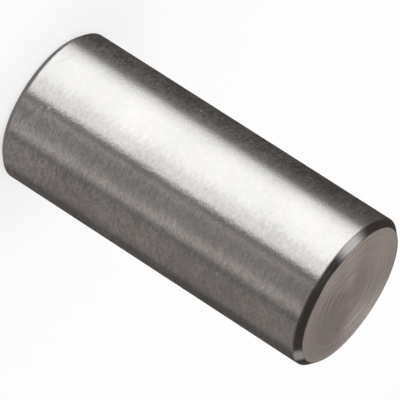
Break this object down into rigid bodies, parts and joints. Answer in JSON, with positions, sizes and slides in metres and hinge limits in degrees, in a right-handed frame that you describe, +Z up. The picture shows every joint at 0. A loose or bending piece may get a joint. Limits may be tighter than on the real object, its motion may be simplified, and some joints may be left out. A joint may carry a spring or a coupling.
{
  "type": "dowel pin",
  "caption": "Plain ground steel dowel pin: a parallel cylinder with a short chamfer at each end, for locating two parts.",
  "frame": {"origin": "centre of the lower end face, which the pin stands on", "axes": "+Z up along the pin's axis, from the lower end face to the upper one; X and Y are any two directions across it"},
  "size_m": [0.008, 0.008, 0.018],
  "materials": {
    "ground_steel": "ground shank with fine lines round it, turned chamfers and faces with concentric marks"
  },
  "bodies": {
    "root": {"dowel_pin": "ground_steel"}
  },
  "joints": []
}
